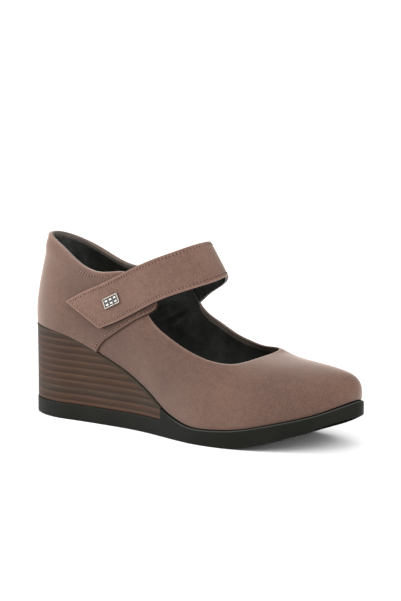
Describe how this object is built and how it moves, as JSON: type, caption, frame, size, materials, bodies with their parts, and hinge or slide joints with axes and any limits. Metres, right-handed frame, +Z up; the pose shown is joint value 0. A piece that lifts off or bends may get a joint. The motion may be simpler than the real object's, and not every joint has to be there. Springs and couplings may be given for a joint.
{
  "type": "wedge pump",
  "caption": "Women's round-toed wedge pump with a broad strap over the instep, soft nap upper and a stacked wedge on a rubber sole.",
  "frame": {"origin": "on the floor under the middle of the heel seat", "axes": "+X to the toe, +Y to the inner side of a right foot, +Z up"},
  "size_m": [0.245, 0.0795, 0.1183],
  "materials": {
    "rubber": "satin moulded rubber",
    "stacked_leather": "waxed stack of thin layers",
    "lining": "soft smooth leather",
    "nubuck": "fine matt nap",
    "silver": "polished",
    "enamel": "glossy"
  },
  "bodies": {
    "root": {"outsole": "rubber", "wedge": "stacked_leather", "insole": "lining", "upper": "nubuck", "quarter": "nubuck", "strap": "nubuck", "ornament_frame": "silver", "ornament_plate": "enamel"}
  },
  "joints": []
}
